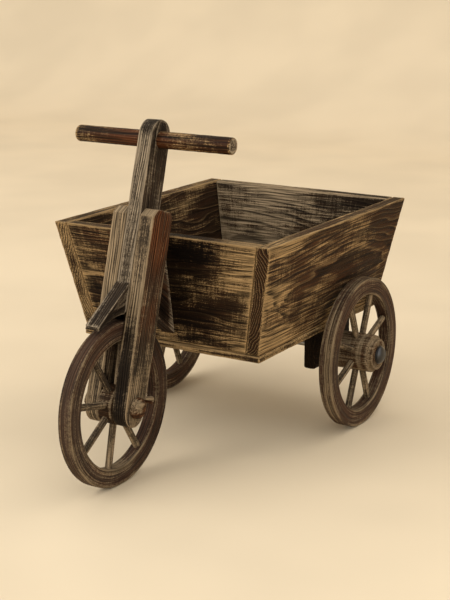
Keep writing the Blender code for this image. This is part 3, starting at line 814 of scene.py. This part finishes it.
def eased(corners, radius, closed):
    """Points of an outline with its corners rounded, and how near each is to a corner."""
    count = len(corners)
    points = []
    worn = []
    for index, corner in enumerate(corners):
        here = np.array(corner, dtype=float)
        last = not closed and index == count - 1
        if closed or 0 < index < count - 1:
            before = np.array(corners[index - 1]) - here
            after = np.array(corners[(index + 1) % count]) - here
            shorter = min(np.linalg.norm(before), np.linalg.norm(after))
            ease = min(radius, EASE_LIMIT * shorter)
            start = here + before / np.linalg.norm(before) * ease
            end = here + after / np.linalg.norm(after) * ease
            for share in np.linspace(0, 1, EASING_STEPS + 1):
                points.append((1 - share) ** 2 * start + 2 * share * (1 - share) * here + share ** 2 * end)
                worn.append(1.0)
        else:
            points.append(here)
            worn.append(0.0)
        if last:
            break
        following = np.array(corners[(index + 1) % count], dtype=float)
        gap = following - points[-1]
        steps = int(np.linalg.norm(gap) / LATHE_PITCH)
        for step in range(1, steps):
            spot = points[-1] + (following - points[-1]) / (steps - step + 1)
            nearest = min(np.linalg.norm(spot - here), np.linalg.norm(following - spot))
            points.append(spot)
            worn.append(max(0.0, 1 - nearest / EDGE_REACH) ** 2)
    return np.array(points), np.array(worn)


def turn(corners, easing, sides, closed=False):
    """Points, quads and edge wear of an outline of (along X, radius) turned about the X axis."""
    outline, worn = eased(corners, easing, closed)
    count = len(outline)
    angles = np.arange(sides) * (2 * math.pi / sides)
    along = np.repeat(outline[:, 0], sides)
    radius = np.repeat(outline[:, 1], sides)
    angle = np.tile(angles, count)
    points = np.column_stack((along, radius * np.cos(angle), radius * np.sin(angle)))
    number = np.arange(count * sides).reshape(count, sides)
    if closed:
        number = np.concatenate((number, number[:1]))
    around = np.roll(number, -1, axis=1)
    quads = np.stack((number[:-1], around[:-1], around[1:], number[1:]), axis=-1).reshape(-1, 4)
    return points, quads, np.repeat(worn, sides)


def bar(start, end, radius, bore=0):
    """The outline of a round bar between two places along X."""
    return [(start, bore), (start, radius), (end, radius), (end, bore)]


def add_turned(node, corners, easing, centre, slot, body="cart", sides=ROD_SIDES, closed=False,
               wobble=0.0, across_face=False, mood=None):
    """A turned piece; its grain runs along it, across its face as in a disc, or round it as in a rim."""
    points, quads, edge = turn(corners, easing, sides, closed)
    if callable(mood):
        mood = mood(points)
    elif mood is not None:
        mood = np.tile(mood, (len(points), 1))
    grain = points[:, [1, 2, 0]] if across_face else points
    if closed and across_face:
        reach = reach_of(points)
        round_way = np.abs(np.arctan2(points[:, 2], points[:, 1])) * reach.mean()
        grain = np.column_stack((round_way, reach, points[:, 0]))
    grain = grain + grain_start(node)
    if wobble:
        for index, spot in enumerate(grain):
            coarse, fine = (abs(noise.noise(Vector(spot * scale))) for scale in (WOBBLE, FINE_WOBBLE))
            worn = coarse + FINE_WOBBLE_SHARE * fine
            reach = math.hypot(points[index, 1], points[index, 2])
            if reach > 0:
                points[index, 1:] *= 1 - wobble * worn / max(reach, WOBBLE_CORE)
    spots = points + np.array(centre)
    piece = add_mesh(node + "_turned", spots, quads, grain, edge, slot_material(slot), mood)
    stand_for(piece, body, slot, node)


# Tub


def level_span(points, z, axis):
    """Lowest and highest place along an axis of the points at a height."""
    near = points[np.abs(points[:, 2] - z) < LEVEL_SLACK]
    return near[:, axis].min(), near[:, axis].max()


def add_panel(node, along_axis):
    """A flared wall of the tub, with its grain level."""
    points = cad_points(node)
    heights = points[:, 2].min(), points[:, 2].max()
    through_axis = 1 - along_axis
    ends = [level_span(points, z, along_axis) for z in heights]
    if along_axis == 0:
        ends = [(low + sizes().seam, high - sizes().seam) for low, high in ends]
    faces = [level_span(points, z, through_axis) for z in heights]

    def place(shares):
        along, across, through = shares.T
        spots = np.empty_like(shares)
        for axis, spans, share in ((along_axis, ends, along), (through_axis, faces, through)):
            low, high = (between(foot, top, across) for foot, top in zip(*spans))
            spots[:, axis] = between(low, high, share)
        spots[:, 2] = between(*heights, across)
        return spots

    lean = faces[1][0] - faces[0][0]
    slope = math.hypot(heights[1] - heights[0], lean)
    size = (ends[1][1] - ends[1][0], slope, faces[0][1] - faces[0][0])
    add_board(node, size, place, sizes().board_rounding, "tub_wood")


def add_straight_board(node, axes, radius, slot):
    """A board square to the frame; axes are those its length, width and thickness lie along."""
    low, high = (np.array(corner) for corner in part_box(node))
    size = (high - low)[list(axes)]

    def place(shares):
        spots = np.empty_like(shares)
        for share, axis in zip(shares.T, axes):
            spots[:, axis] = between(low[axis], high[axis], share)
        return spots

    add_board(node, size, place, radius, slot)


# Fork


def fork_axes():
    """The front axle's centre, and the ways back from and up along the fork."""
    axle = centre_of("front_axle")
    up = (centre_of("handlebar") - axle).normalized()
    back = Vector((0, up.z, -up.y))
    return np.array(axle), np.array(back), np.array(up)


def in_fork(node):
    """A node's points as (X, back, up) from the front axle along the fork."""
    axle, back, up = fork_axes()
    points = cad_points(node) - axle
    return np.column_stack((points[:, 0], points @ back, points @ up))


def from_fork(across, depth, height):
    axle, back, up = fork_axes()
    return axle + np.outer(depth, back) + np.outer(height, up) + np.outer(across, (1, 0, 0))


def end_marks(length, round_low, round_high):
    """Shares along a board, close together where its ends are rounded off."""
    turns = np.linspace(END_TURN, math.pi / 2, END_STEPS)
    low = round_low * (1 - np.cos(turns))
    high = length - round_high * (1 - np.cos(turns))[::-1]
    count = max(2, round((high[0] - low[-1]) / ALONG_PITCH))
    middle = np.linspace(low[-1], high[0], count + 1)
    return np.concatenate((low, middle[1:-1], high)) / length


def add_fork_board(node, round_low, round_high, slot, chamfer=0.0):
    """An upright fork board, its ends rounded off by these radii; a chamfer cuts its front top corner."""
    points = in_fork(node)
    left, _, low = points.min(axis=0)
    right, half, high = points.max(axis=0)
    length = high - low

    def rounded(end_gap, round_end):
        part = np.clip(1 - end_gap / round_end, 0, 1)
        return half - round_end + round_end * np.sqrt(np.clip(1 - part ** 2, LEAST_SQUARE, 1))

    def place(shares):
        along, across, through = shares.T
        up = low + length * along
        top = rounded(high - up, round_high)
        if chamfer:
            top = np.where(across < 0.5, half - np.clip(up - (high - chamfer), 0, None), top)
        width = np.minimum(rounded(up - low, round_low), top)
        return from_fork(between(left, right, through), width * (2 * across - 1), up)

    size = (length, 2 * half, right - left)
    along = end_marks(length, round_low, round_high)
    add_board(node, size, place, sizes().board_rounding, slot, along)


def add_fender():
    """The mudguard block: a wedge with its underside curved about the front axle."""
    points = in_fork("fender_block")
    left, tip, _ = points.min(axis=0)
    right, root, top = points.max(axis=0)
    under = reach_of(points).min()
    tip_top = points[points[:, 1] < tip + TIP_SLACK, 2].max()

    def place(shares):
        along, across, through = shares.T
        depth = between(root, tip, along)
        floor = np.sqrt(under ** 2 - depth ** 2)
        roof = between(top, tip_top, along)
        return from_fork(between(left, right, through), depth, between(floor, roof, across))

    size = (root - tip, top - math.sqrt(under ** 2 - root ** 2), right - left)
    add_board("fender_block", size, place, sizes().board_rounding, "fork_wood")


def add_brace():
    """The board between the stem and the tub's front."""
    local = in_fork("brace_board")
    points = cad_points("brace_board")
    by_stem = points[local[:, 1] < local[:, 1].min() + FACE_SLACK]
    at_top = points[points[:, 2] > points[:, 2].max() - FACE_SLACK]
    stem_low = by_stem[by_stem[:, 2].argmin()]
    stem_high = at_top[at_top[:, 1].argmin()]
    wall_low = points[points[:, 2].argmin()]
    wall_high = at_top[at_top[:, 1].argmax()]
    left = points[:, 0].min()
    right = points[:, 0].max()

    def place(shares):
        along, across, through = shares[:, :1], shares[:, 1:2], shares[:, 2:]
        near_stem = between(stem_low, stem_high, across)
        near_wall = between(wall_low, wall_high, across)
        spots = between(near_stem, near_wall, along)
        spots[:, 0] = between(left, right, through)[:, 0]
        return spots

    size = (abs(wall_high[1] - stem_low[1]), np.linalg.norm(wall_high - wall_low), right - left)
    add_board("brace_board", size, place, sizes().board_rounding, "fork_wood")


# Turned pieces


def fading(mood, axis, fade):
    """A turned piece's mood whose rubbing falls along one of its axes."""
    def at(points):
        values = np.tile(mood, (len(points), 1))
        values[:, 2] -= fade * points[:, axis]
        return values

    return at


def handle_mood(points):
    """More rubbed to the left, redder at the stem and bare at the ends."""
    mood = fading(HANDLE_MOOD, 0, HANDLE_FADE)(points)
    reach = np.abs(points[:, 0])
    mood[:, 1] += np.clip(1 - reach / HANDLE_RED_REACH, 0, 1)
    mood[reach > reach.max() - HANDLE_END] = HANDLE_END_MOOD
    return mood


def add_rod(node, easing, slot, **look):
    """A round rod along X, solid to its centre."""
    half, radius = round_size(node)
    add_turned(node, bar(-half, half, radius), easing, centre_of(node), slot, **look)


def cap_mood(points):
    """Brown, with a pale patch on the upper front that is both a painted highlight and wear."""
    gap = np.hypot(points[:, 1] - CAP_HIGHLIGHT_AND_WEAR_SPOT[0], points[:, 2] - CAP_HIGHLIGHT_AND_WEAR_SPOT[1])
    mood = np.tile(CAP_MOOD, (len(points), 1))
    mood[:, 2] += CAP_HIGHLIGHT_AND_WEAR_RUB * np.clip(1 - gap / CAP_HIGHLIGHT_AND_WEAR_REACH, 0, 1)
    return mood


def add_cap(node, side, outline, easing, slot, **look):
    """A cap on an end of an axle, from an outline in shares of its depth and its radius."""
    half, radius = round_size(node)
    base = -side * half
    corners = [(base, 0)] + [(base + side * 2 * half * out, radius * reach) for out, reach in outline]
    add_turned(node, corners, easing, centre_of(node), slot, sides=sizes().turned_sides, **look)


def add_washer(node):
    half, radius = round_size(node)
    middle = centre_of(node)
    points = cad_points(node) - np.array(middle)
    bore = reach_of(points).min()
    add_turned(node, bar(-half, half, radius, bore), WASHER_EASING, middle, "dark_steel",
               sides=sizes().turned_sides, closed=True)


# Wheels


def add_rim(wheel, side):
    """A wheel rim; a rear one has a groove round its tread."""
    node = wheel + "_rim"
    middle = centre_of(node)
    half, outer = round_size(node)
    points = cad_points(node) - np.array(middle)
    reach = reach_of(points)
    inner = np.sort(reach)[: len(reach) // INNER_PART].max()
    corners = bar(-half, half, outer, inner)
    mood = fading(FRONT_RIM_MOOD, 2, RIM_FADE)
    if side:
        mood = REAR_RIM_MOOD
        groove = TREAD_GROOVE_PLACE * half * side
        width = TREAD_GROOVE_SPREAD * sizes().tread_groove
        bottom = outer - sizes().tread_groove
        corners[2:2] = [(groove - width, outer), (groove, bottom), (groove + width, outer)]
    add_turned(node, corners, sizes().rim_rounding, middle, "rim_wood", wheel, sizes().rim_sides,
               closed=True, wobble=WOBBLE_DEPTH, across_face=True, mood=mood)


def add_hub(wheel, side):
    """A turned hub; a rear one has grooves and a narrower nose on its outer side."""
    node = wheel + "_hub"
    middle = centre_of(node)
    half, radius = round_size(node)
    corners = bar(-half, half, radius)
    mood = FRONT_HUB_MOOD
    if side:
        mood = REAR_HUB_MOOD
        points = cad_points(node) - np.array(middle)
        outer = points[points[:, 0] * side > half - FACE_SLACK]
        nose = reach_of(outer).max()
        step = half - HUB_NOSE
        bottom = radius - sizes().hub_groove
        corners = [(-half, 0), (-half, radius)]
        for spot in (share * half for share in HUB_GROOVES):
            corners += [(spot - HUB_GROOVE_HALF, radius), (spot, bottom), (spot + HUB_GROOVE_HALF, radius)]
        corners += [(step, radius), (step + HUB_NOSE_SLOPE, nose), (half, nose), (half, 0)]
        corners = [(along * side, reach) for along, reach in corners]
    add_turned(node, corners, HUB_EASING, middle, "hub_wood", wheel, sizes().turned_sides,
               wobble=HUB_WOBBLE, mood=mood)


def geometry_group(name, inputs):
    return new_group(name, "GeometryNodeTree", {"Geometry": "Geometry"} | inputs, {"Geometry": "Geometry"})


def store(tree, geometry, name, value):
    inputs = {"Geometry": geometry, "Name": name, "Value": value}
    node = put(tree, "GeometryNodeStoreNamedAttribute", inputs, data_type="FLOAT_VECTOR", domain="POINT")
    return node.outputs[0]


def named(tree, name):
    return put(tree, "GeometryNodeInputNamedAttribute", {"Name": name}, data_type="FLOAT_VECTOR").outputs[0]


def spread_grain(tree, geometry, material):
    """Realizes instances, gives each its own stretch of grain, and sets their material."""
    real = put(tree, "GeometryNodeRealizeInstances", {0: geometry}).outputs[0]
    moved = vector_calc(tree, "ADD", named(tree, GRAIN), named(tree, SHIFT))
    kept = store(tree, real, GRAIN, moved)
    return put(tree, "GeometryNodeSetMaterial", {"Geometry": kept, "Material": material}).outputs[0]


def random_shift(tree, seed):
    inputs = {0: SHIFT_LOW, 1: SHIFT_HIGH, "Seed": seed}
    return put(tree, "FunctionNodeRandomValue", inputs, data_type="FLOAT_VECTOR").outputs[0]


def spoke_group(name):
    """Copies a spoke evenly round the X axis."""
    tree, value, result = geometry_group(name, {
        "Spoke": "Object", "Count": "Int", "First angle": "Float", "Centre": "Vector", "Seed": "Int",
        "Material": "Material"})
    spoke = put(tree, "GeometryNodeObjectInfo", {"Object": value["Spoke"]})
    line = put(tree, "GeometryNodeMeshLine", {"Count": value["Count"], "Offset": (0, 0, 0)})
    spots = store(tree, line.outputs[0], SHIFT, random_shift(tree, value["Seed"]))
    pitch = calc(tree, "DIVIDE", 2 * math.pi, value["Count"])
    index = put(tree, "GeometryNodeInputIndex").outputs[0]
    angle = plus(tree, value["First angle"], times(tree, index, pitch))
    rotation = put(tree, "ShaderNodeCombineXYZ", {0: angle}).outputs[0]
    ring = put(tree, "GeometryNodeInstanceOnPoints", {
        "Points": spots, "Instance": spoke.outputs["Geometry"], "Rotation": rotation})
    placed = put(tree, "GeometryNodeTranslateInstances", {
        "Instances": ring.outputs[0], "Translation": value["Centre"], "Local Space": False})
    give(tree, result, spread_grain(tree, placed.outputs[0], value["Material"]))
    return tree


def instanced(name, mesh, tree, values):
    """An object whose geometry nodes have been run and turned into a plain mesh."""
    piece = link(name, mesh)
    modifier = piece.modifiers.new("Instances", "NODES")
    modifier.node_group = tree
    for item in tree.interface.items_tree:
        if item.in_out == "INPUT" and item.name in values:
            modifier[item.identifier] = values[item.name]
    graph = bpy.context.evaluated_depsgraph_get()
    made = bpy.data.meshes.new_from_object(piece.evaluated_get(graph), preserve_all_data_layers=True,
                                           depsgraph=graph)
    piece.modifiers.clear()
    piece.data = made
    made.name = name
    made.shade_smooth()
    return piece


def add_spokes(wheel, number):
    nodes = sorted(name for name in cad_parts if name.startswith(wheel + "_spoke_"))
    middle = np.array(centre_of(wheel + "_rim"))
    first = cad_points(nodes[0]) - middle
    reach = reach_of(first)
    centre = first.mean(axis=0)
    radius, _ = round_size(nodes[0])
    points, quads, edge = turn(bar(reach.min(), reach.max(), radius), SPOKE_EASING, SPOKE_SIDES)
    upright = points[:, [1, 0, 2]] * np.array([-1, 1, 1])
    material = slot_material("spoke_wood")
    template = add_mesh(wheel + "_spoke_template", upright, quads, points, edge, material)
    tree = shared_group("Spoke ring", spoke_group)
    values = {"Spoke": template, "Count": len(nodes), "First angle": math.atan2(centre[2], centre[1]),
              "Centre": middle.tolist(), "Seed": number, "Material": material}
    piece = instanced(wheel + "_spokes", bpy.data.meshes.new(wheel + "_spokes"), tree, values)
    bpy.data.objects.remove(template)
    stand_for(piece, wheel, "spoke_wood", *nodes)


# Screws


def screw_group(name):
    """Sets a screw on each point, turned to face along that point's own direction."""
    tree, value, result = geometry_group(name, {"Screw": "Object", "Seed": "Int", "Material": "Material"})
    screw = put(tree, "GeometryNodeObjectInfo", {"Object": value["Screw"]})
    spots = store(tree, value["Geometry"], SHIFT, random_shift(tree, value["Seed"]))
    rotation = put(tree, "FunctionNodeAlignRotationToVector", {"Vector": named(tree, FACING)}, axis="X")
    placed = put(tree, "GeometryNodeInstanceOnPoints", {
        "Points": spots, "Instance": screw.outputs["Geometry"], "Rotation": rotation.outputs[0]})
    give(tree, result, spread_grain(tree, placed.outputs[0], value["Material"]))
    return tree


def screw_template(radius, material):
    """A low domed screw head with a crossed slot, facing along X from the board's surface."""
    proud = SCREW_PROUD * radius
    reach = np.linspace(radius, 0, SCREW_STEPS)
    dome = [(proud * (1 - (part / radius) ** 2) + SCREW_LIFT, part) for part in reach]
    root, root_share = SCREW_ROOT
    points, quads, edge = turn([(root, root_share * radius)] + dome, 0.0, SCREW_SIDES)
    slotted = np.minimum(np.abs(points[:, 1]), np.abs(points[:, 2])) < SLOT_HALF * radius
    inside = reach_of(points) < SLOT_REACH * radius
    points[slotted & inside & (points[:, 0] > 0), 0] -= SLOT_DEPTH * radius
    return add_mesh("screw_template", points, quads, points, edge, material)


def add_screws(nodes, facing):
    """The heads of these screws, at their boards' surface."""
    facing = Vector(facing)
    spots = []
    for low, high in (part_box(node) for node in nodes):
        half = (high - low) / 2
        spots.append((low + high) / 2 + facing * (facing.dot(half) + SCREW_SET))
    radius, _ = round_size(nodes[0])
    material = slot_material("screw_steel")
    template = screw_template(radius, material)
    mesh = bpy.data.meshes.new(nodes[0] + "_heads")
    mesh.from_pydata(spots, [], [])
    directions = mesh.attributes.new(FACING, "FLOAT_VECTOR", "POINT")
    directions.data.foreach_set("vector", list(facing) * len(nodes))
    tree = shared_group("Screw heads", screw_group)
    values = {"Screw": template, "Seed": len(nodes), "Material": material}
    piece = instanced(nodes[0] + "_heads", mesh, tree, values)
    bpy.data.objects.remove(template)
    stand_for(piece, "cart", "screw_steel", *nodes)


# Stage


def paper_material(colours):
    """Pale paper with a faint mottle."""
    material, tree, shader = new_material("Studio paper")
    place = put(tree, "ShaderNodeTexCoord").outputs["Object"]
    cloud = ramp(tree, noise_at(tree, place, PAPER_CLOUDS), *PAPER_CLOUD_SPAN)
    shown = blended(tree, cloud, *(tinted(colours.paper, shade) for shade in PAPER_SHADES))
    tree.links.new(shown, shader.inputs["Base Color"])
    set_inputs(shader, {"Roughness": PAPER_ROUGHNESS, "Specular IOR Level": PAPER_SHINE})
    return material


def add_sweep(colours):
    """A floor that bends up into a backdrop behind the cart."""
    outline = [(SWEEP_FRONT, 0.0), (SWEEP_BACK, 0.0)]
    for step in range(1, SWEEP_BEND_STEPS + 1):
        turned = math.pi / 2 * step / SWEEP_BEND_STEPS
        outline.append((SWEEP_BACK + SWEEP_BEND * math.sin(turned), SWEEP_BEND * (1 - math.cos(turned))))
    outline.append((SWEEP_BACK + SWEEP_BEND, SWEEP_HEIGHT))
    points = [(side * SWEEP_WIDTH / 2, y, z) for y, z in outline for side in (-1, 1)]
    faces = [(2 * row, 2 * row + 1, 2 * row + 3, 2 * row + 2) for row in range(len(outline) - 1)]
    mesh = bpy.data.meshes.new("studio_sweep")
    mesh.from_pydata(points, [], faces)
    mesh.shade_smooth()
    mesh.materials.append(paper_material(colours))
    sweep = link("studio_sweep", mesh)


def aim(thing, place, forward):
    thing.location = place
    thing.rotation_euler = forward.to_track_quat("-Z", "Y").to_euler()


def add_light(name, place, target, size, power, colour):
    lamp = bpy.data.lights.new(name, "AREA")
    lamp.shape = "DISK"
    lamp.size = size
    lamp.energy = power
    lamp.color = colour
    light = link(name, lamp)
    aim(light, place, Vector(target) - Vector(place))


def add_camera():
    lens = bpy.data.cameras.new("photo_camera")
    lens.lens = CAMERA_LENS
    lens.sensor_width = CAMERA_SENSOR
    lens.dof.use_dof = False
    camera = link("photo_camera", lens)
    aim(camera, CAMERA_PLACE, CAMERA_FORWARD)
    bpy.context.scene.camera = camera


# Operators


class CART_OT_stage(bpy.types.Operator):
    """Add the camera, the pale sweep and soft light"""

    bl_idname = "cart.stage"
    bl_label = "Stage"

    def execute(self, context):
        add_camera()
        add_sweep(context.scene.cart_colours)
        for light in LIGHTS:
            add_light(*light)
        world = bpy.data.worlds.new("Studio air")
        world.use_nodes = True
        set_inputs(world.node_tree.nodes["Background"], {"Color": AIR_COLOUR, "Strength": AIR_STRENGTH})
        context.scene.world = world
        context.scene.view_settings.view_transform = "Standard"
        return {"FINISHED"}


class CART_OT_tub(bpy.types.Operator):
    """Build the tub's four flared walls and its floor"""

    bl_idname = "cart.tub"
    bl_label = "Tub"

    def execute(self, context):
        for node in ("left_side_panel", "right_side_panel"):
            add_panel(node, 1)
        for node in ("front_panel", "back_panel"):
            add_panel(node, 0)
        add_straight_board("floor_board", (0, 1, 2), FLOOR_ROUNDING, "tub_wood")
        return {"FINISHED"}


class CART_OT_fork(bpy.types.Operator):
    """Build the stem, cheeks, mudguard and brace"""

    bl_idname = "cart.fork"
    bl_label = "Fork"

    def execute(self, context):
        half = in_fork("stem")[:, 1].max()
        for node in ("left_fork_cheek", "right_fork_cheek"):
            add_fork_board(node, half, half * CHEEK_TOP, "cheek_wood", sizes().cheek_chamfer)
        add_fork_board("stem", STEM_FOOT, half, "fork_wood")
        add_fender()
        add_brace()
        return {"FINISHED"}


class CART_OT_handle(bpy.types.Operator):
    """Build the cross handle"""

    bl_idname = "cart.handle"
    bl_label = "Handle"

    def execute(self, context):
        add_rod("handlebar", HANDLE_EASING, "handle_wood", sides=sizes().turned_sides,
                wobble=WOBBLE_DEPTH, mood=handle_mood)
        return {"FINISHED"}


class CART_OT_running_gear(bpy.types.Operator):
    """Build the axle blocks, axles, washers, caps, peg and screw heads"""

    bl_idname = "cart.running_gear"
    bl_label = "Running gear"

    def execute(self, context):
        for node in ("left_axle_block", "right_axle_block"):
            add_straight_board(node, (1, 2, 0), sizes().block_rounding, "block_wood")
        for node in ("front_axle", "rear_axle"):
            add_rod(node, ROD_EASING, "rod_steel")
        for node, side in (("left_front_axle_cap", -1), ("right_front_axle_cap", 1)):
            add_cap(node, side, WHITTLED, WHITTLED_EASING, "hub_wood",
                    wobble=WHITTLED_WOBBLE, across_face=True, mood=cap_mood)
        for node, side in (("rear_axle_cap_1", -1), ("rear_axle_cap_2", 1)):
            add_cap(node, side, DOMED, DOMED_EASING, "dark_steel")
        for number in range(1, 5):
            add_washer(f"rear_axle_washer_{number}")
        add_rod("cheek_peg", PEG_EASING, "hub_wood", wobble=WOBBLE_DEPTH, mood=CAP_MOOD)
        add_screws([f"axle_block_screw_{number}" for number in range(1, 5)], (0, 0, 1))
        add_screws(["brace_screw_1", "brace_screw_2"], (0, 1, 0))
        return {"FINISHED"}


class CART_OT_wheels(bpy.types.Operator):
    """Build the three spoked wheels"""

    bl_idname = "cart.wheels"
    bl_label = "Wheels"

    def execute(self, context):
        wheels = (("front_wheel", 0), ("rear_left_wheel", -1), ("rear_right_wheel", 1))
        for number, (wheel, side) in enumerate(wheels):
            add_rim(wheel, side)
            add_hub(wheel, side)
            add_spokes(wheel, number)
        return {"FINISHED"}


STEPS = (CART_OT_stage, CART_OT_tub, CART_OT_fork, CART_OT_handle, CART_OT_running_gear, CART_OT_wheels)


class CART_PT_pieces(bpy.types.Panel):
    """Lists the cart's pieces with their sizes and colours"""

    bl_idname = "CART_PT_pieces"
    bl_label = "Rustic cart"
    bl_space_type = "VIEW_3D"
    bl_region_type = "UI"
    bl_category = "Cart"

    def draw(self, context):
        column = self.layout.column()
        for step in STEPS:
            column.operator(step.bl_idname)
        for group in (context.scene.cart_sizes, context.scene.cart_colours):
            for key in group.bl_rna.properties.keys():
                if key not in ("rna_type", "name"):
                    column.prop(group, key)


CLASSES = (CartSizes, CartColours) + STEPS + (CART_PT_pieces,)


def register():
    for item in CLASSES:
        bpy.utils.register_class(item)
    bpy.types.Scene.cart_sizes = bpy.props.PointerProperty(type=CartSizes)
    bpy.types.Scene.cart_colours = bpy.props.PointerProperty(type=CartColours)


def unregister():
    del bpy.types.Scene.cart_colours
    del bpy.types.Scene.cart_sizes
    for item in reversed(CLASSES):
        bpy.utils.unregister_class(item)


def main():
    register()
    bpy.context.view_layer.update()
    for step in STEPS:
        family, name = step.bl_idname.split(".")
        getattr(getattr(bpy.ops, family), name)()


if __name__ == "__main__":
    main()
